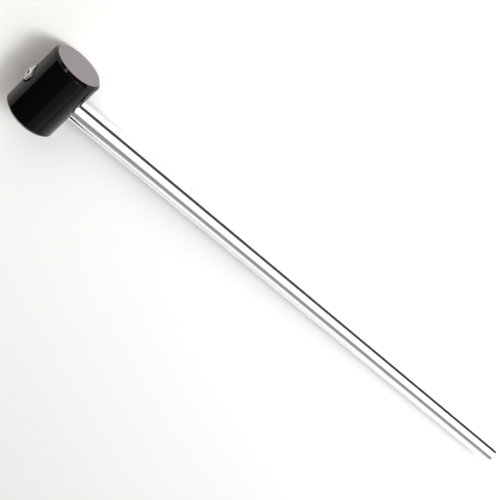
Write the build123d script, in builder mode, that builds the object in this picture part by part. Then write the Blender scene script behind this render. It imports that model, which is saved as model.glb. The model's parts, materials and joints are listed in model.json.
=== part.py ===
"""Cross-head mallet: a hard black cylindrical head on one straight polished steel rod.

The mallet lies at rest on the plane z = 0, on the barrel of its head and on the free end of
its rod, so the rod slopes down a little from the head. The head's axis is along Y and the rod
runs towards +X. The origin is the centre of the bottom of the whole mallet's box.
"""
from build123d import *
import os
from math import asin, atan, ceil, cos, floor, hypot, radians, sin, tan

os.makedirs("parts", exist_ok=True)

# ---------------------------------------------------------------- driving dimensions, in mm
head_diameter = 38.1  # 1 1/2 in round bar
head_length = 50.8  # 2 in, from striking face to striking face
face_chamfer_radial = 2.0  # chamfer round each striking face
face_chamfer_axial = 2.0
edge_break = 0.3  # small radius on the turned edges of the head

rod_diameter = 15.875  # 5/8 in bright bar
rod_reach = 457.2  # 18 in, from the head's axis to the rod's free end
rod_end_chamfer = 1.0
rod_shoulder_chamfer = 0.4
socket_floor = 6.0  # from the head's axis to the shoulder that the rod seats on
socket_clearance = 0.05  # radial, rod in its socket

stud_diameter = 6.35  # 1/4 in, 20 threads to the inch
thread_pitch = 1.27
thread_clearance = 0.08  # radial, between the stud's thread and the nut's
stud_hole_clearance = 0.25  # radial, stud in the head
stud_proud = 0.7  # stud past the nut's outer face
stud_neck_length = 2.0  # plain neck beside the rod's shoulder

nut_across_flats = 11.1125  # 7/16 in
nut_height = 5.55  # 7/32 in
nut_proud = 1.4  # nut's outer face past the barrel
nut_corner_turn = 15.0  # degrees, from straight up to the nearest corner
nut_chamfer_angle = 30.0  # degrees, against the nut's faces
nut_face_ratio = 0.94  # diameter of the nut's flat face to its width across flats
nut_countersink = 0.25  # radial, past the thread at both ends of the nut

washer_diameter = 12.7
washer_thickness = 1.6
lock_washer_diameter = 11.6
lock_washer_thickness = 1.575
washer_hole_clearance = 0.2  # radial, both washers on the stud
lock_washer_slit = 1.0  # width of the slit in the split washer
lock_washer_slant = 25.0  # degrees, slit against the washer's axis

recess_clearance = 0.8  # radial, from the nut's corners to the recess's wall
lip_chamfer = 0.25  # round the recess and round the socket's mouth

# ---------------------------------------------------------------- what follows from them
head_radius = head_diameter / 2
rod_radius = rod_diameter / 2
stud_radius = stud_diameter / 2
nut_corner_radius = nut_across_flats / 2 / cos(radians(30))
nut_face_radius = nut_face_ratio * nut_across_flats / 2
recess_radius = nut_corner_radius + recess_clearance
washer_hole_radius = stud_radius + washer_hole_clearance

# Unified thread: 60 degree flanks, crests an eighth and roots a quarter of the pitch wide.
flank_rise = tan(radians(30))
stud_crest_half = thread_pitch / 16
stud_root_half = thread_pitch / 8
thread_depth = (thread_pitch / 2 - stud_crest_half - stud_root_half) / flank_rise
stud_root_radius = stud_radius - thread_depth
overcut = 0.04  # how far the grooves' outlines run past the metal they cut

# Places along the rod's axis, from the head's axis, positive towards the rod's free end.
nut_outer = -(head_radius + nut_proud)
nut_seat = nut_outer + nut_height
flat_washer_outer = nut_seat + lock_washer_thickness
recess_floor = flat_washer_outer + washer_thickness
stud_tip = nut_outer - stud_proud
thread_end = socket_floor - stud_neck_length

# The head's barrel and the last full round of the rod both touch the plane z = 0.
contact_reach = rod_reach - rod_end_chamfer
slope = asin(head_radius / hypot(contact_reach, rod_radius)) - atan(rod_radius / contact_reach)
low_x = min(
    nut_outer * cos(slope) - nut_face_radius * sin(slope),
    stud_tip * cos(slope) - stud_root_radius * sin(slope),
)
high_x = max(
    rod_reach * cos(slope) + (rod_radius - rod_end_chamfer) * sin(slope),
    contact_reach * cos(slope) + rod_radius * sin(slope),
)
head_centre = Vector(-(low_x + high_x) / 2, 0, head_radius)
rod_direction = Vector(cos(slope), 0, -sin(slope))
rod_up = Vector(sin(slope), 0, cos(slope))

rod_axis = Axis(head_centre, rod_direction)
head_axis = Axis(head_centre, (0, 1, 0))
# In this plane x runs along the rod and y is the distance up from its axis.
rod_section = Plane(head_centre, x_dir=rod_direction, z_dir=(0, -1, 0))
# In this plane x runs along the head's axis and y is the distance up from it.
head_section = Plane(head_centre, x_dir=(0, 1, 0), z_dir=(1, 0, 0))


def across_rod(distance):
    """A plane square to the rod, that far along it: x along Y, y up, z towards the free end."""
    return Plane(head_centre + rod_direction * distance, x_dir=(0, 1, 0), z_dir=rod_direction)


# ---------------------------------------------------------------- mallet head
with BuildPart() as mallet_head:
    with BuildSketch(head_section):
        with BuildLine():
            Polyline(
                (-head_length / 2, 0),
                (-head_length / 2, head_radius - face_chamfer_radial),
                (-head_length / 2 + face_chamfer_axial, head_radius),
                (head_length / 2 - face_chamfer_axial, head_radius),
                (head_length / 2, head_radius - face_chamfer_radial),
                (head_length / 2, 0),
                close=True,
            )
        make_face()
    revolve(axis=head_axis)
    fillet(mallet_head.edges().filter_by(GeomType.CIRCLE), edge_break)

    # socket for the rod, from the shoulder out through the barrel
    with BuildSketch(across_rod(socket_floor)):
        Circle(rod_radius + socket_clearance)
    extrude(amount=head_diameter, mode=Mode.SUBTRACT)
    socket_lip = mallet_head.edges().filter_by(GeomType.CIRCLE, reverse=True)
    socket_lip = socket_lip.filter_by(GeomType.LINE, reverse=True).sort_by(rod_axis)[-1]
    chamfer(socket_lip, lip_chamfer)

    # recess for the nut and its washers, open on the side away from the rod
    with BuildSketch(across_rod(recess_floor)):
        Circle(recess_radius)
    extrude(amount=-head_diameter, mode=Mode.SUBTRACT)
    recess_lip = mallet_head.edges().filter_by(GeomType.CIRCLE, reverse=True)
    recess_lip = recess_lip.filter_by(GeomType.LINE, reverse=True).sort_by(rod_axis)[0]
    chamfer(recess_lip, lip_chamfer)

    # hole for the stud, from the recess's floor to the socket's floor
    with BuildSketch(across_rod(recess_floor)):
        Circle(stud_radius + stud_hole_clearance)
    extrude(amount=socket_floor - recess_floor, mode=Mode.SUBTRACT)
mallet_head.part.label = "mallet_head"
export_step(mallet_head.part, "parts/mallet_head.step")

# ---------------------------------------------------------------- handle rod
with BuildPart() as handle_rod:
    with BuildSketch(rod_section):
        with BuildLine():
            Polyline(
                (stud_tip, 0),
                (stud_tip, stud_root_radius),
                (stud_tip + thread_depth, stud_radius),
                (thread_end, stud_radius),
                (thread_end, stud_root_radius),
                (socket_floor, stud_root_radius),
                (socket_floor, rod_radius - rod_shoulder_chamfer),
                (socket_floor + rod_shoulder_chamfer, rod_radius),
                (contact_reach, rod_radius),
                (rod_reach, rod_radius - rod_end_chamfer),
                (rod_reach, 0),
                close=True,
            )
        make_face()
    revolve(axis=rod_axis)

    # The stud's thread, as rings one pitch apart. One groove lies at the nut's outer face.
    groove_half = thread_pitch / 2 - stud_crest_half + overcut * flank_rise
    first_groove = ceil((stud_tip + thread_pitch / 2 - nut_outer) / thread_pitch)
    last_groove = floor((thread_end - thread_pitch / 2 - nut_outer) / thread_pitch)
    with BuildSketch(rod_section):
        for turn in range(first_groove, last_groove + 1):
            middle = nut_outer + turn * thread_pitch
            with BuildLine():
                Polyline(
                    (middle - groove_half, stud_radius + overcut),
                    (middle - stud_root_half, stud_root_radius),
                    (middle + stud_root_half, stud_root_radius),
                    (middle + groove_half, stud_radius + overcut),
                    close=True,
                )
            make_face()
    revolve(axis=rod_axis, mode=Mode.SUBTRACT)
handle_rod.part.label = "handle_rod"
export_step(handle_rod.part, "parts/handle_rod.step")

# ---------------------------------------------------------------- flat washer
with BuildPart() as flat_washer:
    with BuildSketch(across_rod(flat_washer_outer)):
        Circle(washer_diameter / 2)
        Circle(washer_hole_radius, mode=Mode.SUBTRACT)
    extrude(amount=washer_thickness)
flat_washer.part.label = "flat_washer"
export_step(flat_washer.part, "parts/flat_washer.step")

# ---------------------------------------------------------------- split lock washer
with BuildPart() as lock_washer:
    with BuildSketch(across_rod(nut_seat)):
        Circle(lock_washer_diameter / 2)
        Circle(washer_hole_radius, mode=Mode.SUBTRACT)
    extrude(amount=lock_washer_thickness)

    # slanted slit through the lowest side of the ring
    half_run = lock_washer_thickness / 2 + overcut
    half_slant = half_run * tan(radians(lock_washer_slant))
    slit_middle = nut_seat + lock_washer_thickness / 2
    slit_origin = head_centre + rod_direction * slit_middle
    with BuildSketch(Plane(slit_origin, x_dir=rod_direction, z_dir=-rod_up)):
        with BuildLine():
            Polyline(
                (-half_run, -half_slant - lock_washer_slit / 2),
                (half_run, half_slant - lock_washer_slit / 2),
                (half_run, half_slant + lock_washer_slit / 2),
                (-half_run, -half_slant + lock_washer_slit / 2),
                close=True,
            )
        make_face()
    extrude(amount=lock_washer_diameter, mode=Mode.SUBTRACT)
lock_washer.part.label = "lock_washer"
export_step(lock_washer.part, "parts/lock_washer.step")

# ---------------------------------------------------------------- hex nut
with BuildPart() as hex_nut:
    with BuildSketch(across_rod(nut_outer)):
        RegularPolygon(nut_corner_radius, 6, rotation=90 - nut_corner_turn)
    extrude(amount=nut_height)

    # turned chamfer on both ends, and the plain bore with its countersinks
    turning_radius = nut_corner_radius + overcut
    chamfer_run = (turning_radius - nut_face_radius) * tan(radians(nut_chamfer_angle))
    with BuildSketch(rod_section):
        with BuildLine():
            Polyline(
                (nut_outer, 0),
                (nut_outer, nut_face_radius),
                (nut_outer + chamfer_run, turning_radius),
                (nut_seat - chamfer_run, turning_radius),
                (nut_seat, nut_face_radius),
                (nut_seat, 0),
                close=True,
            )
        make_face()
    revolve(axis=rod_axis, mode=Mode.INTERSECT)

    bore_radius = stud_root_radius + thread_clearance
    mouth_radius = stud_radius + nut_countersink
    mouth_depth = (mouth_radius - bore_radius) * flank_rise
    with BuildSketch(rod_section):
        with BuildLine():
            Polyline(
                (nut_outer, 0),
                (nut_outer, mouth_radius),
                (nut_outer + mouth_depth, bore_radius),
                (nut_seat - mouth_depth, bore_radius),
                (nut_seat, mouth_radius),
                (nut_seat, 0),
                close=True,
            )
        make_face()
    revolve(axis=rod_axis, mode=Mode.SUBTRACT)

    # The nut's thread: its grooves take the stud's ridges, half a pitch from the stud's grooves.
    # They run on as far as a ridge stands in the plain bore, short of the far countersink.
    ridge_half = thread_pitch / 2 - stud_root_half
    mouth_half = ridge_half + overcut * flank_rise
    groove_count = ceil((nut_height - mouth_depth + ridge_half) / thread_pitch - 0.5)
    with BuildSketch(rod_section):
        for turn in range(groove_count):
            middle = nut_outer + (turn + 0.5) * thread_pitch
            with BuildLine():
                Polyline(
                    (middle - mouth_half, bore_radius - overcut),
                    (middle - stud_crest_half, stud_radius + thread_clearance),
                    (middle + stud_crest_half, stud_radius + thread_clearance),
                    (middle + mouth_half, bore_radius - overcut),
                    close=True,
                )
            make_face()
    revolve(axis=rod_axis, mode=Mode.SUBTRACT)
hex_nut.part.label = "hex_nut"
export_step(hex_nut.part, "parts/hex_nut.step")
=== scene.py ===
"""Cross-head mallet: a glossy black cylindrical head on one long polished steel rod.

Everything is in metres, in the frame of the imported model. The head's axis is along Y, the rod
runs towards +X and slopes down a little, and the mallet lies on z = 0.
"""
import json
import math

import bpy
from mathutils import Euler, Matrix, Quaternion, Vector


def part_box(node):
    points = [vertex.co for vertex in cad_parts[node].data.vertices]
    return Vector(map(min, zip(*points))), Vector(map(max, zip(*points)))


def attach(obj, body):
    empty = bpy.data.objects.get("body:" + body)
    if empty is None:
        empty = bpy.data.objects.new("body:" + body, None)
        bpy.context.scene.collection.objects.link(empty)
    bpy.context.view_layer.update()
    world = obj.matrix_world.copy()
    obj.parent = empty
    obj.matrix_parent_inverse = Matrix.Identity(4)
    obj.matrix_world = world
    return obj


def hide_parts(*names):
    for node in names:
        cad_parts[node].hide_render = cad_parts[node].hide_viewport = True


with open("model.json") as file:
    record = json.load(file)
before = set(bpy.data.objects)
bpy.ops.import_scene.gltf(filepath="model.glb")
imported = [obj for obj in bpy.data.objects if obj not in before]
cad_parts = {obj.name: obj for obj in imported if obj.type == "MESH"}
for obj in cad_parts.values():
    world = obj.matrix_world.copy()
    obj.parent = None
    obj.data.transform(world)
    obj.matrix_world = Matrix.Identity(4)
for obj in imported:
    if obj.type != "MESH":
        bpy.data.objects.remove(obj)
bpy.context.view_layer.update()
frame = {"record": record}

MM = 0.001

# ------------------------------------------------------------ places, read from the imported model
mounts = {mount["name"]: mount for mount in frame["record"]["mounts"]}
head_low, head_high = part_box("mallet_head")
head_centre = (head_low + head_high) / 2
head_radius = (head_high.z - head_low.z) / 2
head_half_length = (head_high.y - head_low.y) / 2
rod_direction = Vector(mounts["rod_end"]["axis"])
rod_reach = (Vector(mounts["rod_end"]["pos_m"]) - head_centre).dot(rod_direction)
rod_slope = math.asin(-rod_direction.z)

# ------------------------------------------------------------ the maker's sizes
face_chamfer_radial = 2.0 * MM
face_chamfer_axial = 2.0 * MM
face_edge_offset = 0.124 * MM
barrel_edge_offset = 0.124 * MM

rod_radius = 15.875 / 2 * MM
rod_end_chamfer = 1.0 * MM
rod_end_corner = 0.12 * MM
rod_shoulder_chamfer = 0.4 * MM
socket_floor = 6.0 * MM
socket_clearance = 0.05 * MM
socket_radius = rod_radius + socket_clearance

stud_radius = 3.175 * MM
thread_pitch = 1.27 * MM
thread_crest = thread_pitch / 8
thread_root = thread_pitch / 4
thread_depth = (thread_pitch - thread_crest - thread_root) / 2 / math.tan(math.radians(30))
stud_root_radius = stud_radius - thread_depth
neck_relief = 0.05 * MM  # keeps the plain neck clear of the thread's root
neck_radius = stud_root_radius - neck_relief
neck_overlap = 1 * MM  # how far the neck runs on inside the thread
thread_clearance = 0.08 * MM
thread_end = 4.0 * MM
stud_hole_clearance = 0.25 * MM
stud_hole_radius = stud_radius + stud_hole_clearance
stud_proud = 0.7 * MM

nut_across_flats = 11.1125 * MM
nut_corner_radius = nut_across_flats / math.sqrt(3)
nut_face_ratio = 0.94
nut_face_radius = nut_face_ratio * nut_across_flats / 2
nut_height = 5.55 * MM
nut_proud = 1.4 * MM
nut_corner_turn = 15.0  # degrees
nut_chamfer_angle = 30.0  # degrees
nut_overcut = 0.04 * MM  # how far the turned envelope runs past the corners
nut_edge = 0.07 * MM
nut_countersink = 0.25 * MM
nut_mouth_radius = stud_radius + nut_countersink

washer_radius = 12.7 / 2 * MM
washer_thickness = 1.6 * MM
washer_corner = 0.22 * MM
spring_washer_radius = 11.6 / 2 * MM
spring_washer_thickness = 1.575 * MM
spring_washer_corner = 0.12 * MM
washer_hole_clearance = 0.2 * MM
washer_hole_radius = stud_radius + washer_hole_clearance
slit_width = 1.0 * MM
slit_slant = 25.0  # degrees

recess_clearance = 0.8 * MM
recess_radius = nut_corner_radius + recess_clearance
lip = 0.25 * MM

# Places along the rod's axis, from the head's axis, positive towards the rod's free end.
nut_outer = -(head_radius + nut_proud)
nut_seat = nut_outer + nut_height
flat_washer_outer = nut_seat + spring_washer_thickness
recess_floor = flat_washer_outer + washer_thickness
stud_tip = nut_outer - stud_proud

head_sides = 384
rod_sides = 256
small_sides = 128
thread_sides = 64
spare = 3 * MM  # how far a cutter runs past what it cuts
backdrop_level = 0.75  # of the pale backdrop, where it is seen directly

# Turns and moves a piece that was modelled along +X at the origin to its place on the rod.
rod_place = Matrix.Translation(head_centre) @ Euler((0, rod_slope, 0)).to_matrix().to_4x4()


# ------------------------------------------------------------ working with meshes
def deselect():
    for other in list(bpy.context.selected_objects):
        other.select_set(False)


def take(piece):
    """Makes the piece the only selected and the active one."""
    deselect()
    piece.select_set(True)
    bpy.context.view_layer.objects.active = piece


def edit(piece, part, test):
    """Enters edit mode with only those vertices, edges or faces selected that pass the test."""
    take(piece)
    bpy.ops.object.mode_set(mode="EDIT")
    bpy.ops.mesh.select_mode(type={"vertices": "VERT", "edges": "EDGE", "polygons": "FACE"}[part])
    bpy.ops.mesh.select_all(action="DESELECT")
    bpy.ops.object.mode_set(mode="OBJECT")
    for item in getattr(piece.data, part):
        item.select = test(item)
    bpy.ops.object.mode_set(mode="EDIT")


def leave():
    bpy.ops.object.mode_set(mode="OBJECT")


def clean(piece):
    """Merges doubles and turns every face outwards."""
    take(piece)
    bpy.ops.object.mode_set(mode="EDIT")
    bpy.ops.mesh.select_all(action="SELECT")
    bpy.ops.mesh.remove_doubles(threshold=0.002 * MM)
    bpy.ops.mesh.normals_make_consistent(inside=False)
    leave()


def place_on_rod(piece):
    """Puts a piece that lies along +X at the origin on the rod, with its place in its mesh."""
    take(piece)
    piece.matrix_world = rod_place
    bpy.ops.object.transform_apply(location=True, rotation=True, scale=True)


def apply_modifier(piece, kind, **settings):
    take(piece)
    modifier = piece.modifiers.new(kind.lower(), kind)
    for key, value in settings.items():
        setattr(modifier, key, value)
    bpy.ops.object.modifier_apply(modifier=modifier.name)


def combine(piece, tool, operation):
    """Joins, cuts or trims the piece with the tool, and throws the tool away."""
    apply_modifier(piece, "BOOLEAN", operation=operation, object=tool, solver="EXACT")
    bpy.data.objects.remove(tool)


def smooth(piece, angle=30):
    """Smooth shading up to that angle, with flat faces kept flat beside their rounded edges."""
    take(piece)
    bpy.ops.object.shade_smooth_by_angle(angle=math.radians(angle))
    apply_modifier(piece, "WEIGHTED_NORMAL", keep_sharp=True, weight=100)


def turned(name, stations, sides):
    """A closed turned solid along +X: stations are (place along the axis, radius) from end to end."""
    deselect()
    first_place, first_radius = stations[0]
    bpy.ops.mesh.primitive_circle_add(
        vertices=sides,
        radius=first_radius,
        fill_type="NGON",
        location=(first_place, 0, 0),
        rotation=(0, math.pi / 2, 0),
    )
    piece = bpy.context.object
    piece.name = name
    bpy.ops.object.transform_apply(location=True, rotation=True, scale=True)
    bpy.ops.object.mode_set(mode="EDIT")
    bpy.ops.mesh.select_all(action="SELECT")
    place, radius = first_place, first_radius
    for next_place, next_radius in stations[1:]:
        move = {"value": (next_place - place, 0, 0)}
        bpy.ops.mesh.extrude_region_move(TRANSFORM_OT_translate=move)
        if next_radius != radius:
            ratio = next_radius / radius
            bpy.ops.transform.resize(value=(1, ratio, ratio), center_override=(next_place, 0, 0))
        place, radius = next_place, next_radius
    leave()
    clean(piece)
    return piece


def ring(name, low_place, high_place, hole_radius, outer_radius, corner, sides):
    """A ring round the X axis with rounded corners, spun from its section."""
    deselect()
    middle = ((low_place + high_place) / 2, 0, (hole_radius + outer_radius) / 2)
    bpy.ops.mesh.primitive_plane_add(size=1, location=middle, rotation=(math.pi / 2, 0, 0))
    piece = bpy.context.object
    piece.name = name
    piece.scale = (high_place - low_place, outer_radius - hole_radius, 1)
    bpy.ops.object.transform_apply(location=True, rotation=True, scale=True)
    bpy.ops.object.mode_set(mode="EDIT")
    bpy.ops.mesh.select_all(action="SELECT")
    bpy.ops.mesh.bevel(offset=corner, segments=3, affect="VERTICES")
    bpy.ops.mesh.select_all(action="SELECT")
    bpy.ops.mesh.delete(type="ONLY_FACE")
    bpy.ops.mesh.select_all(action="SELECT")
    bpy.ops.mesh.spin(steps=sides, angle=2 * math.pi, center=(0, 0, 0), axis=(1, 0, 0))
    leave()
    clean(piece)
    return piece


def threaded_bar(name, root_radius, crest_radius, low_place, high_place):
    """A closed right-hand threaded bar along +X, swept along its helix and sawn off square."""
    deselect()
    turns = math.ceil((high_place - low_place) / thread_pitch) + 2
    start = nut_outer - thread_pitch * math.ceil((nut_outer - low_place) / thread_pitch + 1)
    flank = (crest_radius - root_radius) * math.tan(math.radians(30))
    crest = thread_pitch - thread_root - 2 * flank
    bpy.ops.mesh.primitive_plane_add(size=1, location=(start, 0, root_radius))
    bar = bpy.context.object
    bar.name = name
    bpy.ops.object.transform_apply(location=True, rotation=True, scale=True)
    bpy.ops.object.mode_set(mode="EDIT")
    bpy.ops.mesh.select_mode(type="VERT")
    bpy.ops.mesh.select_all(action="SELECT")
    bpy.ops.mesh.merge(type="CENTER")
    rise = crest_radius - root_radius
    for run, up in ((thread_root, 0), (flank, rise), (crest, 0), (flank, -rise)):
        move = {"value": (run, 0, up)}
        bpy.ops.mesh.extrude_region_move(TRANSFORM_OT_translate=move)
    leave()
    apply_modifier(
        bar,
        "SCREW",
        axis="X",
        angle=2 * math.pi,
        screw_offset=thread_pitch,
        iterations=turns,
        steps=thread_sides,
        render_steps=thread_sides,
        use_merge_vertices=False,
    )
    clean(bar)
    for place, side in ((low_place, -1), (high_place, 1)):
        take(bar)
        bpy.ops.object.mode_set(mode="EDIT")
        bpy.ops.mesh.select_all(action="SELECT")
        bpy.ops.mesh.bisect(
            plane_co=(place, 0, 0),
            plane_no=(side, 0, 0),
            use_fill=True,
            clear_outer=True,
            threshold=0.0001 * MM,
        )
        leave()
    clean(bar)
    return bar


# ------------------------------------------------------------ the head
def lay_lip_on_barrel(cutter, place, radius, drop):
    """Moves one ring of the cutter onto the barrel, less the drop, so that its lip is even."""
    side = 1 if place > 0 else -1
    for vertex in cutter.data.vertices:
        if abs(vertex.co.x - place) < 0.01 * MM and abs(vertex.co.yz.length - radius) < 0.01 * MM:
            reach = head_radius - drop
            vertex.co.x = side * math.sqrt(reach**2 - vertex.co.z**2)


def head_cutter():
    """What is bored out of the head: nut recess, stud hole and rod socket, with both lips."""
    barrel = head_radius
    inner = barrel - lip
    stations = [
        (-barrel - spare, recess_radius + lip),
        (-barrel, recess_radius + lip),
        (-inner, recess_radius),
        (recess_floor, recess_radius),
        (recess_floor, stud_hole_radius),
        (socket_floor, stud_hole_radius),
        (socket_floor, socket_radius),
        (inner, socket_radius),
        (barrel, socket_radius + lip),
        (barrel + spare, socket_radius + lip),
    ]
    cutter = turned("head_cutter", stations, rod_sides)
    lay_lip_on_barrel(cutter, -barrel, recess_radius + lip, 0)
    lay_lip_on_barrel(cutter, -inner, recess_radius, lip)
    lay_lip_on_barrel(cutter, inner, socket_radius, lip)
    lay_lip_on_barrel(cutter, barrel, socket_radius + lip, 0)
    place_on_rod(cutter)
    return cutter


def chamfer_face(head, side):
    """Grows the head's end out to its striking face, drawn in by the chamfer."""
    edit(head, "polygons", lambda face: face.normal.y * side > 0.9)
    move = {"value": (0, side * face_chamfer_axial, 0)}
    bpy.ops.mesh.extrude_region_move(TRANSFORM_OT_translate=move)
    ratio = (head_radius - face_chamfer_radial) / head_radius
    centre = head_centre + Vector((0, side * head_half_length, 0))
    bpy.ops.transform.resize(value=(ratio, 1, ratio), center_override=centre)
    leave()


def round_ring(head, distance, offset):
    """Breaks the turned edges that lie that far from the middle of the head, on both sides."""

    def on_ring(edge):
        ends = [head.data.vertices[index].co for index in edge.vertices]
        return all(abs(abs(end.y - head_centre.y) - distance) < 0.01 * MM for end in ends)

    edit(head, "edges", on_ring)
    bpy.ops.mesh.bevel(offset=offset, segments=4, profile=0.5, affect="EDGES")
    leave()


def make_head():
    """The turned head, chamfered at both faces and bored for the rod, the stud and the nut."""
    deselect()
    bpy.ops.mesh.primitive_cylinder_add(
        vertices=head_sides,
        radius=head_radius,
        depth=2 * (head_half_length - face_chamfer_axial),
        location=head_centre,
        rotation=(math.pi / 2, 0, 0),
    )
    head = bpy.context.object
    head.name = "black_head"
    bpy.ops.object.transform_apply(location=True, rotation=True, scale=True)
    for side in (-1, 1):
        chamfer_face(head, side)
    round_ring(head, head_half_length, face_edge_offset)
    round_ring(head, head_half_length - face_chamfer_axial, barrel_edge_offset)
    edit(head, "polygons", lambda face: abs(face.normal.y) > 0.99 and len(face.vertices) > 4)
    bpy.ops.mesh.inset(thickness=1 * MM, use_individual=True)
    leave()
    clean(head)
    combine(head, head_cutter(), "DIFFERENCE")
    smooth(head)
    return head


# ------------------------------------------------------------ the rod and its stud
def make_rod():
    """The bar with its chamfered end and its shoulder, and the threaded stud past the shoulder."""
    stations = [
        (thread_end - neck_overlap, 0.9 * neck_radius),
        (thread_end - neck_overlap + 0.1 * neck_radius, neck_radius),
        (socket_floor, neck_radius),
        (socket_floor, rod_radius - rod_shoulder_chamfer),
        (socket_floor + rod_shoulder_chamfer, rod_radius),
        (rod_reach - rod_end_chamfer, rod_radius),
        (rod_reach, rod_radius - rod_end_chamfer),
    ]
    rod = turned("steel_rod", stations, rod_sides)

    def end_edge(edge):
        ends = [rod.data.vertices[index].co for index in edge.vertices]
        around = abs(ends[0].x - ends[1].x) < 0.01 * MM
        return around and ends[0].x > rod_reach - 1.5 * rod_end_chamfer

    edit(rod, "edges", end_edge)
    bpy.ops.mesh.bevel(offset=rod_end_corner, segments=3, profile=0.5, affect="EDGES")
    leave()
    # The bar runs past the tip, so that only the blank cuts its end.
    stud = threaded_bar("stud", stud_root_radius, stud_radius, stud_tip - 1 * MM, thread_end)
    blank = turned(
        "stud_blank",
        [
            (stud_tip, neck_radius),
            (stud_tip + thread_depth, stud_radius),
            (stud_tip + 2 * thread_depth, stud_radius + spare),
            (thread_end + spare, stud_radius + spare),
        ],
        small_sides,
    )
    combine(stud, blank, "INTERSECT")
    combine(rod, stud, "UNION")
    clean(rod)
    place_on_rod(rod)
    smooth(rod, 25)
    return rod


# ------------------------------------------------------------ nut and washers
def make_nut():
    """A hex nut, chamfered at both ends, countersunk and tapped to suit the stud."""
    deselect()
    bpy.ops.mesh.primitive_cylinder_add(
        vertices=6,
        radius=nut_corner_radius,
        depth=nut_height,
        location=((nut_outer + nut_seat) / 2, 0, 0),
        rotation=(0, math.pi / 2, 0),
    )
    nut = bpy.context.object
    nut.name = "bright_nut"
    bpy.ops.object.transform_apply(location=True, rotation=True, scale=True)
    nut.rotation_euler.x = math.radians(nut_corner_turn)
    bpy.ops.object.transform_apply(location=True, rotation=True, scale=True)
    turning_radius = nut_corner_radius + nut_overcut
    chamfer_run = (turning_radius - nut_face_radius) * math.tan(math.radians(nut_chamfer_angle))
    envelope = turned(
        "nut_envelope",
        [
            (nut_outer, nut_face_radius),
            (nut_outer + chamfer_run, turning_radius),
            (nut_seat - chamfer_run, turning_radius),
            (nut_seat, nut_face_radius),
        ],
        small_sides,
    )
    combine(nut, envelope, "INTERSECT")
    bore_radius = stud_root_radius + thread_clearance
    mouth_depth = (nut_mouth_radius - bore_radius) * math.tan(math.radians(30))
    countersinks = turned(
        "nut_bore",
        [
            (nut_outer - spare, nut_mouth_radius),
            (nut_outer, nut_mouth_radius),
            (nut_outer + mouth_depth, bore_radius),
            (nut_seat - mouth_depth, bore_radius),
            (nut_seat, nut_mouth_radius),
            (nut_seat + spare, nut_mouth_radius),
        ],
        small_sides,
    )
    combine(nut, countersinks, "DIFFERENCE")
    apply_modifier(
        nut,
        "BEVEL",
        width=nut_edge,
        segments=3,
        limit_method="ANGLE",
        angle_limit=math.radians(20),
    )
    tap = threaded_bar(
        "tap",
        bore_radius,
        stud_radius + thread_clearance,
        nut_outer - spare,
        nut_seat + spare,
    )
    combine(nut, tap, "DIFFERENCE")
    place_on_rod(nut)
    smooth(nut, 25)
    return nut


def make_flat_washer():
    washer = ring(
        "plain_washer",
        flat_washer_outer,
        recess_floor,
        washer_hole_radius,
        washer_radius,
        washer_corner,
        small_sides,
    )
    place_on_rod(washer)
    smooth(washer)
    return washer


def make_spring_washer():
    """A ring sawn through once, on a slant."""
    washer = ring(
        "spring_washer",
        nut_seat,
        flat_washer_outer,
        washer_hole_radius,
        spring_washer_radius,
        spring_washer_corner,
        small_sides,
    )
    deselect()
    middle = (nut_seat + flat_washer_outer) / 2
    bpy.ops.mesh.primitive_cube_add(size=1, location=(middle, 0, -spring_washer_radius))
    saw = bpy.context.object
    saw.scale = (3 * spring_washer_thickness, slit_width, 1.6 * spring_washer_radius)
    saw.rotation_euler.z = math.radians(slit_slant)
    bpy.ops.object.transform_apply(location=True, rotation=True, scale=True)
    combine(washer, saw, "DIFFERENCE")
    place_on_rod(washer)
    smooth(washer)
    return washer


# ------------------------------------------------------------ shader helpers
def add(tree, kind, inputs=None, **settings):
    """Adds a node, sets its options, and sets or links its inputs."""
    node = tree.nodes.new(kind)
    for key, value in settings.items():
        setattr(node, key, value)
    for key, value in (inputs or {}).items():
        if isinstance(value, bpy.types.NodeSocket):
            tree.links.new(value, node.inputs[key])
        else:
            node.inputs[key].default_value = value
    return node


def maths(tree, operation, first, second=0.0):
    return add(tree, "ShaderNodeMath", {0: first, 1: second}, operation=operation).outputs[0]


def ranged(tree, value, low, high, to_low=0.0, to_high=1.0):
    """The value's run from low to high, mapped smoothly onto the other two numbers."""
    inputs = {"Value": value, "From Min": low, "From Max": high, "To Min": to_low, "To Max": to_high}
    node = add(tree, "ShaderNodeMapRange", inputs, interpolation_type="SMOOTHSTEP")
    return node.outputs["Result"]


def noise(tree, vector, scale, detail=2.0, roughness=0.5):
    inputs = {"Vector": vector, "Scale": scale, "Detail": detail, "Roughness": roughness}
    return add(tree, "ShaderNodeTexNoise", inputs).outputs["Fac"]


def stretched(tree, vector, scale):
    return add(tree, "ShaderNodeMapping", {"Vector": vector, "Scale": scale}).outputs["Vector"]


def blend_colours(tree, share, first, second):
    node = add(tree, "ShaderNodeMix", {"Factor": share}, data_type="RGBA")
    for socket, value in ((node.inputs[6], first), (node.inputs[7], second)):
        if isinstance(value, bpy.types.NodeSocket):
            tree.links.new(value, socket)
        else:
            socket.default_value = (*value, 1)
    return node.outputs[2]


def new_group(name, inputs, outputs):
    tree = bpy.data.node_groups.new(name, "ShaderNodeTree")
    for label, kind, value in inputs:
        socket = tree.interface.new_socket(label, in_out="INPUT", socket_type=kind)
        if value is not None:
            socket.default_value = value
    for label, kind in outputs:
        tree.interface.new_socket(label, in_out="OUTPUT", socket_type=kind)
    return tree, tree.nodes.new("NodeGroupInput").outputs, tree.nodes.new("NodeGroupOutput").inputs


def use(tree, group, inputs):
    node = tree.nodes.new("ShaderNodeGroup")
    node.node_tree = group
    for key, value in inputs.items():
        if isinstance(value, bpy.types.NodeSocket):
            tree.links.new(value, node.inputs[key])
        else:
            node.inputs[key].default_value = value
    return node.outputs


VECTOR = "NodeSocketVector"
FLOAT = "NodeSocketFloat"


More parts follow.
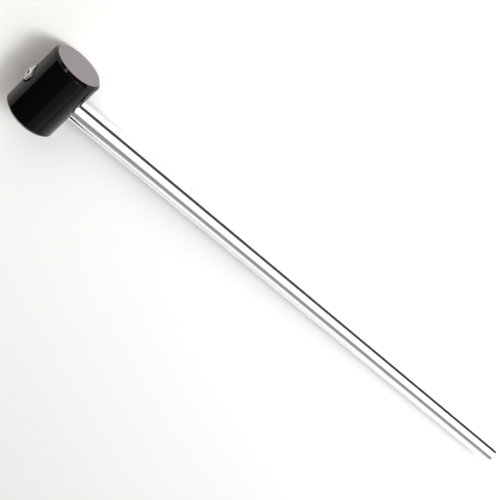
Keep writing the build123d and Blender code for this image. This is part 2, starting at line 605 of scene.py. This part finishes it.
# ------------------------------------------------------------ effects that the finishes share
def make_turning_marks():
    """Fine tool marks, which change only with the distance along the tool's travel."""
    inputs = [("Travel", FLOAT, 0.0), ("Lines per Metre", FLOAT, 4000.0)]
    tree, given, wanted = new_group("turning_marks", inputs, [("Height", FLOAT)])
    step = maths(tree, "MULTIPLY", given["Travel"], given["Lines per Metre"])
    fine = add(tree, "ShaderNodeTexNoise", {"W": step, "Scale": 1.0}, noise_dimensions="1D")
    slow_step = maths(tree, "MULTIPLY", step, 0.13)
    slow = add(tree, "ShaderNodeTexNoise", {"W": slow_step, "Scale": 1.0}, noise_dimensions="1D")
    tree.links.new(maths(tree, "ADD", fine.outputs["Fac"], slow.outputs["Fac"]), wanted["Height"])
    return tree


def make_rim_wear():
    """A patchy mask along a turned edge, round the vector's X axis, on both sides of its origin."""
    inputs = [
        ("Vector", VECTOR, None),
        ("Edge Radius", FLOAT, 0.01),
        ("Edge Place", FLOAT, 0.01),
        ("Width", FLOAT, 0.0005),
        ("Patches per Metre", FLOAT, 400.0),
    ]
    tree, given, wanted = new_group("rim_wear", inputs, [("Mask", FLOAT)])
    parts = add(tree, "ShaderNodeSeparateXYZ", {0: given["Vector"]}).outputs
    flat = add(tree, "ShaderNodeCombineXYZ", {"Y": parts["Y"], "Z": parts["Z"]}).outputs[0]
    length = add(tree, "ShaderNodeVectorMath", {0: flat}, operation="LENGTH").outputs["Value"]
    off_radius = maths(tree, "SUBTRACT", length, given["Edge Radius"])
    along = maths(tree, "ABSOLUTE", parts["X"])
    off_place = maths(tree, "SUBTRACT", along, given["Edge Place"])
    away = add(tree, "ShaderNodeCombineXYZ", {"X": off_radius, "Y": off_place}).outputs[0]
    distance = add(tree, "ShaderNodeVectorMath", {0: away}, operation="LENGTH").outputs["Value"]
    share = maths(tree, "DIVIDE", distance, given["Width"])
    band = ranged(tree, share, 0.2, 1.0, 1.0, 0.0)
    patches = noise(tree, given["Vector"], given["Patches per Metre"], 4.0, 0.65)
    broken = ranged(tree, patches, 0.42, 0.68)
    tree.links.new(maths(tree, "MULTIPLY", band, broken), wanted["Mask"])
    return tree


def make_handling():
    """Soft smudges and a fine haze, as hands and cloths leave them on a polished piece."""
    inputs = [("Vector", VECTOR, None), ("Smudges per Metre", FLOAT, 60.0)]
    tree, given, wanted = new_group("handling", inputs, [("Mask", FLOAT)])
    broad = noise(tree, given["Vector"], given["Smudges per Metre"], 3.0, 0.6)
    fine_scale = maths(tree, "MULTIPLY", given["Smudges per Metre"], 14.0)
    fine = noise(tree, given["Vector"], fine_scale, 3.0, 0.6)
    both = maths(tree, "MULTIPLY", ranged(tree, broad, 0.42, 0.7), ranged(tree, fine, 0.3, 0.75))
    tree.links.new(both, wanted["Mask"])
    return tree


def make_scratches():
    """Hairline scratches in two directions, each line where a stretched noise crosses its middle."""
    inputs = [("Vector", VECTOR, None), ("Lines per Metre", FLOAT, 300.0), ("Width", FLOAT, 0.01)]
    tree, given, wanted = new_group("scratches", inputs, [("Mask", FLOAT)])
    masks = []
    for turn, gate_scale in ((0.35, 90.0), (-0.6, 130.0)):
        turned_vector = add(
            tree, "ShaderNodeMapping", {"Vector": given["Vector"], "Rotation": (turn, turn, turn)}
        ).outputs["Vector"]
        long_vector = stretched(tree, turned_vector, (0.08, 1.0, 1.0))
        field = noise(tree, long_vector, given["Lines per Metre"], 1.0)
        from_middle = maths(tree, "ABSOLUTE", maths(tree, "SUBTRACT", field, 0.5))
        line = maths(tree, "LESS_THAN", from_middle, given["Width"])
        gate = ranged(tree, noise(tree, turned_vector, gate_scale, 1.0), 0.58, 0.64)
        masks.append(maths(tree, "MULTIPLY", line, gate))
    tree.links.new(maths(tree, "MAXIMUM", *masks), wanted["Mask"])
    return tree


def make_dust():
    """Sparse specks on what faces up."""
    inputs = [("Vector", VECTOR, None), ("Specks per Metre", FLOAT, 900.0), ("Cover", FLOAT, 0.1)]
    tree, given, wanted = new_group("dust", inputs, [("Mask", FLOAT)])
    spots = add(
        tree,
        "ShaderNodeTexVoronoi",
        {"Vector": given["Vector"], "Scale": given["Specks per Metre"]},
    ).outputs["Distance"]
    speck = ranged(tree, maths(tree, "DIVIDE", spots, given["Cover"]), 0.6, 1.0, 1.0, 0.0)
    normal = add(tree, "ShaderNodeNewGeometry").outputs["Normal"]
    up = add(tree, "ShaderNodeSeparateXYZ", {0: normal}).outputs["Z"]
    gate = ranged(tree, noise(tree, given["Vector"], 220.0, 2.0), 0.45, 0.62)
    landed = maths(tree, "MULTIPLY", ranged(tree, up, 0.0, 0.8), gate)
    tree.links.new(maths(tree, "MULTIPLY", speck, landed), wanted["Mask"])
    return tree


turning_marks = make_turning_marks()
rim_wear = make_rim_wear()
handling = make_handling()
scratches = make_scratches()
dust = make_dust()


# ------------------------------------------------------------ finishes
def new_finish(name, place, turn):
    """A material, with the piece's own axis brought to the X axis of its pattern coordinates."""
    material = bpy.data.materials.new(name)
    material.use_nodes = True
    tree = material.node_tree
    coordinates = add(tree, "ShaderNodeTexCoord").outputs["Object"]
    own = add(
        tree,
        "ShaderNodeMapping",
        {"Vector": coordinates, "Location": place, "Rotation": turn},
        vector_type="TEXTURE",
    ).outputs["Vector"]
    return material, tree, tree.nodes["Principled BSDF"].inputs, own


def radial_distance(tree, own):
    parts = add(tree, "ShaderNodeSeparateXYZ", {0: own}).outputs
    flat = add(tree, "ShaderNodeCombineXYZ", {"Y": parts["Y"], "Z": parts["Z"]}).outputs[0]
    length = add(tree, "ShaderNodeVectorMath", {0: flat}, operation="LENGTH").outputs["Value"]
    return parts["X"], length


def bump(tree, height, strength, distance, normal=None):
    inputs = {"Height": height, "Strength": strength, "Distance": distance}
    if normal is not None:
        inputs["Normal"] = normal
    return add(tree, "ShaderNodeBump", inputs).outputs["Normal"]


def polished_steel():
    """The rod: centreless ground and buffed bar, with a turned end face."""
    material, tree, shader, own = new_finish("polished_steel", head_centre, (0, rod_slope, 0))
    along, radial = radial_distance(tree, own)
    end_face = maths(tree, "GREATER_THAN", along, rod_reach - 0.3 * rod_end_chamfer)
    smudge = use(tree, handling, {"Vector": own, "Smudges per Metre": 45.0})["Mask"]
    hairline = use(tree, scratches, {"Vector": own, "Lines per Metre": 260.0, "Width": 0.006})["Mask"]
    wear = use(
        tree,
        rim_wear,
        {
            "Vector": own,
            "Edge Radius": rod_radius,
            "Edge Place": rod_reach - rod_end_chamfer,
            "Width": 0.6 * MM,
            "Patches per Metre": 700.0,
        },
    )["Mask"]
    tint = blend_colours(tree, smudge, (0.93, 0.93, 0.94), (0.87, 0.87, 0.875))
    scratched = blend_colours(tree, hairline, tint, (0.98, 0.98, 0.98))
    faced = blend_colours(tree, end_face, scratched, (0.74, 0.74, 0.75))
    tree.links.new(faced, shader["Base Color"])
    shader["Metallic"].default_value = 1.0
    rough = ranged(tree, smudge, 0.0, 1.0, 0.05, 0.11)
    rough = maths(tree, "ADD", rough, maths(tree, "MULTIPLY", hairline, 0.12))
    rough = maths(tree, "ADD", rough, maths(tree, "MULTIPLY", wear, 0.15))
    rough = maths(tree, "ADD", rough, maths(tree, "MULTIPLY", end_face, 0.2))
    tree.links.new(rough, shader["Roughness"])
    ground = use(tree, turning_marks, {"Travel": along, "Lines per Metre": 5200.0})["Height"]
    faced_marks = use(tree, turning_marks, {"Travel": radial, "Lines per Metre": 7000.0})["Height"]
    ground_normal = bump(tree, ground, 0.05, 0.02 * MM)
    strength = maths(tree, "MULTIPLY", end_face, faced_marks)
    faced_normal = bump(tree, strength, 0.4, 0.02 * MM, ground_normal)
    scuffed = bump(tree, hairline, -0.15, 0.01 * MM, faced_normal)
    tree.links.new(scuffed, shader["Normal"])
    return material


def black_gloss():
    """The head: glossy black barrel, rougher faced ends with a painted sheen in their colour, edges
    rubbed a little grey.
    """
    quarter_turn = (0, 0, math.pi / 2)
    material, tree, shader, own = new_finish("black_gloss", head_centre, quarter_turn)
    along, radial = radial_distance(tree, own)
    end_place = head_half_length - 0.06 * MM
    faced = maths(tree, "GREATER_THAN", maths(tree, "ABSOLUTE", along), end_place)
    smudge = use(tree, handling, {"Vector": own, "Smudges per Metre": 90.0})["Mask"]
    hairline = use(tree, scratches, {"Vector": own, "Lines per Metre": 500.0, "Width": 0.008})["Mask"]
    speck = use(tree, dust, {"Vector": own, "Specks per Metre": 700.0, "Cover": 0.1})["Mask"]
    wear = use(
        tree,
        rim_wear,
        {
            "Vector": own,
            "Edge Radius": head_radius - face_chamfer_radial,
            "Edge Place": head_half_length,
            "Width": 0.35 * MM,
            "Patches per Metre": 500.0,
        },
    )["Mask"]
    mottle = noise(tree, own, 900.0, 4.0, 0.6)
    # Painted sheen: the faced ends get a light grey colour that stands in for their reflection of the
    # bright floor. Only their rougher finish is real.
    face_painted_sheen = blend_colours(tree, mottle, (0.20, 0.18, 0.195), (0.27, 0.245, 0.265))
    body = blend_colours(tree, mottle, (0.0022, 0.002, 0.0022), (0.0035, 0.0032, 0.0035))
    colour = blend_colours(tree, faced, body, face_painted_sheen)
    colour = blend_colours(tree, maths(tree, "MULTIPLY", wear, 0.5), colour, (0.16, 0.155, 0.16))
    colour = blend_colours(tree, maths(tree, "MULTIPLY", speck, 0.25), colour, (0.35, 0.34, 0.33))
    tree.links.new(colour, shader["Base Color"])
    shader["IOR"].default_value = 1.5
    shader["Specular IOR Level"].default_value = 0.24
    gloss = ranged(tree, smudge, 0.0, 1.0, 0.07, 0.15)
    gloss = maths(tree, "ADD", gloss, maths(tree, "MULTIPLY", hairline, 0.12))
    gloss = maths(tree, "ADD", gloss, maths(tree, "MULTIPLY", wear, 0.3))
    rough = maths(tree, "ADD", gloss, maths(tree, "MULTIPLY", faced, 0.42))
    tree.links.new(rough, shader["Roughness"])
    turning = use(tree, turning_marks, {"Travel": along, "Lines per Metre": 4200.0})["Height"]
    facing = use(tree, turning_marks, {"Travel": radial, "Lines per Metre": 5200.0})["Height"]
    barrel_normal = bump(tree, turning, 0.04, 0.02 * MM)
    face_height = maths(tree, "MULTIPLY", faced, maths(tree, "ADD", facing, mottle))
    face_normal = bump(tree, face_height, 0.5, 0.02 * MM, barrel_normal)
    scuffed = bump(tree, hairline, -0.2, 0.01 * MM, face_normal)
    tree.links.new(scuffed, shader["Normal"])
    return material


def plated(name, light, dark, rough_low, rough_high, grain):
    """Plated fastener steel: mottled plating over the marks of forming."""
    material, tree, shader, own = new_finish(name, head_centre, (0, rod_slope, 0))
    along, radial = radial_distance(tree, own)
    mottle = noise(tree, own, 1400.0, 4.0, 0.6)
    smudge = use(tree, handling, {"Vector": own, "Smudges per Metre": 300.0})["Mask"]
    hairline = use(tree, scratches, {"Vector": own, "Lines per Metre": 1500.0, "Width": 0.01})["Mask"]
    wear = use(
        tree,
        rim_wear,
        {
            "Vector": own,
            "Edge Radius": nut_face_radius,
            "Edge Place": -nut_outer,
            "Width": 0.4 * MM,
            "Patches per Metre": 2200.0,
        },
    )["Mask"]
    colour = blend_colours(tree, mottle, dark, light)
    colour = blend_colours(tree, maths(tree, "MULTIPLY", smudge, 0.5), colour, dark)
    colour = blend_colours(tree, maths(tree, "MAXIMUM", hairline, wear), colour, (0.97, 0.97, 0.97))
    tree.links.new(colour, shader["Base Color"])
    shader["Metallic"].default_value = 1.0
    rough = ranged(tree, mottle, 0.3, 0.7, rough_low, rough_high)
    rough = maths(tree, "ADD", rough, maths(tree, "MULTIPLY", smudge, 0.1))
    tree.links.new(rough, shader["Roughness"])
    marks = use(tree, turning_marks, {"Travel": radial, "Lines per Metre": 9000.0})["Height"]
    drawn = use(tree, turning_marks, {"Travel": along, "Lines per Metre": 9000.0})["Height"]
    normal = bump(tree, maths(tree, "ADD", marks, drawn), grain, 0.01 * MM)
    normal = bump(tree, mottle, 0.3, 0.01 * MM, normal)
    tree.links.new(normal, shader["Normal"])
    return material


def white_paper():
    material, tree, shader, own = new_finish("white_paper", (0, 0, 0), (0, 0, 0))
    fibre = noise(tree, own, 900.0, 3.0)
    tint = blend_colours(tree, fibre, (0.86, 0.858, 0.855), (0.88, 0.878, 0.876))
    tree.links.new(tint, shader["Base Color"])
    shader["Roughness"].default_value = 0.85
    shader["Specular IOR Level"].default_value = 0.2
    return material


# ------------------------------------------------------------ the studio
def make_floor():
    deselect()
    bpy.ops.mesh.primitive_plane_add(size=8, location=(0, 0, 0))
    floor = bpy.context.object
    floor.name = "floor"
    floor.data.materials.append(white_paper())


def softbox(name, centre, target, width, height, brightness, colour=(1, 1, 1)):
    """A rectangular area light that faces the target, with its width level."""
    light = bpy.data.lights.new(name, "AREA")
    light.shape = "RECTANGLE"
    light.size = width
    light.size_y = height
    light.color = colour
    light.energy = brightness * math.pi * width * height
    lamp = bpy.data.objects.new(name, light)
    lamp.location = centre
    lamp.rotation_euler = (Vector(target) - Vector(centre)).to_track_quat("-Z", "Y").to_euler()
    bpy.context.scene.collection.objects.link(lamp)


def make_lights():
    # The main light gives the head its shadow. The broad light leans over the rod behind it.
    softbox("main_light", (0.48, 0.54, 1.14), head_centre, 0.5, 0.5, 15.6)
    softbox("broad_light", (0.75, 0.59, 1.05), (0.75, -0.07, 0), 1.9, 1.32, 1.3)
    # The fill light stands low on the far side of the rod.
    softbox("fill_light", (0.72, -1.0, 0.44), (0.72, 0, 0.44), 1.26, 0.78, 0.88)
    # A warm light from behind the head opens up its shadow.
    softbox("side_light", (-1.0, 0.95, 0.85), head_centre, 1.2, 1.0, 3.7, (1.0, 0.95, 0.87))


def make_room():
    """A dim room: grey overhead, and brighter low down where the paper sweeps up at +X."""
    world = bpy.data.worlds.new("room")
    bpy.context.scene.world = world
    world.use_nodes = True
    tree = world.node_tree
    direction = add(tree, "ShaderNodeTexCoord").outputs["Generated"]
    parts = add(tree, "ShaderNodeSeparateXYZ", {0: direction}).outputs
    far_side = ranged(tree, parts["Y"], 0.15, -0.15)
    low_down = ranged(tree, parts["Z"], 0.0, 0.75, 1.0, 0.0)
    sweep = maths(tree, "MULTIPLY", low_down, ranged(tree, parts["X"], 0.3, 0.9))
    sweep = maths(tree, "MULTIPLY", sweep, far_side)
    # The lean is how far a direction tips to the far side: the grey overhead rises on both
    # sides of the lights, and is even between them.
    lean = maths(tree, "DIVIDE", maths(tree, "MULTIPLY", parts["Y"], -1.0), parts["Z"])
    beside_key = ranged(tree, lean, 0.25, -0.02, 0.0, 0.55)
    beside_fill = ranged(tree, lean, 0.5, 0.95, 0.0, 0.6)
    beside_fill = maths(tree, "MULTIPLY", beside_fill, ranged(tree, parts["X"], 0.22, 0.4))
    overhead = maths(tree, "ADD", 0.28, maths(tree, "ADD", beside_key, beside_fill))
    overhead = maths(tree, "MULTIPLY", overhead, ranged(tree, parts["X"], 0.0, 0.3))
    overhead = maths(tree, "MULTIPLY", overhead, ranged(tree, parts["Z"], 0.4, 0.6))
    overhead = maths(tree, "MULTIPLY", overhead, far_side)
    sweep_level = maths(tree, "MULTIPLY", sweep, 0.9)
    level = maths(tree, "ADD", sweep_level, overhead)
    level = maths(tree, "ADD", level, ranged(tree, parts["Y"], 0.0, 0.4, 0.004, 0.075))
    # Past the floor's edge a pale backdrop shows. Reflections still see the dim room.
    seen_directly = add(tree, "ShaderNodeLightPath").outputs["Is Camera Ray"]
    level = maths(tree, "MAXIMUM", level, maths(tree, "MULTIPLY", seen_directly, backdrop_level))
    background = tree.nodes["Background"]
    tree.links.new(level, background.inputs["Strength"])
    background.inputs["Color"].default_value = (1.0, 0.985, 0.975, 1)


def make_camera():
    """Looks down on the mallet from behind its head, with the free end to the lower right."""
    azimuth, elevation, roll = (math.radians(angle) for angle in (-133.6, 57.0, 179.0))
    aim = Vector((-0.0319, -0.0041, 0.0))
    distance = 0.873
    back = Vector(
        (
            math.sin(azimuth) * math.cos(elevation),
            -math.cos(azimuth) * math.cos(elevation),
            math.sin(elevation),
        )
    )
    lens = bpy.data.cameras.new("camera")
    lens.lens = 87.0
    lens.sensor_width = 36.0
    lens.clip_start = 0.01
    lens.clip_end = 50.0
    camera = bpy.data.objects.new("camera", lens)
    camera.rotation_mode = "QUATERNION"
    camera.location = aim + back * distance
    level = (-back).to_track_quat("-Z", "Y")
    camera.rotation_quaternion = level @ Quaternion((0, 0, 1), roll)
    bpy.context.scene.collection.objects.link(camera)
    bpy.context.scene.camera = camera


# ------------------------------------------------------------ putting it together
def finish_piece(piece, material, node):
    piece.data.materials.clear()
    piece.data.materials.append(material)
    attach(piece, "root")
    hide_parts(node)


make_camera()
make_floor()
make_lights()
make_room()
bpy.context.scene.view_settings.view_transform = "Standard"

zinc = plated("zinc_plate", (0.66, 0.67, 0.69), (0.5, 0.51, 0.54), 0.25, 0.4, 0.25)
nickel = plated("bright_nickel", (0.88, 0.87, 0.86), (0.74, 0.73, 0.72), 0.1, 0.2, 0.12)
finish_piece(make_head(), black_gloss(), "mallet_head")
finish_piece(make_rod(), polished_steel(), "handle_rod")
finish_piece(make_flat_washer(), zinc, "flat_washer")
finish_piece(make_spring_washer(), zinc, "lock_washer")
finish_piece(make_nut(), nickel, "hex_nut")
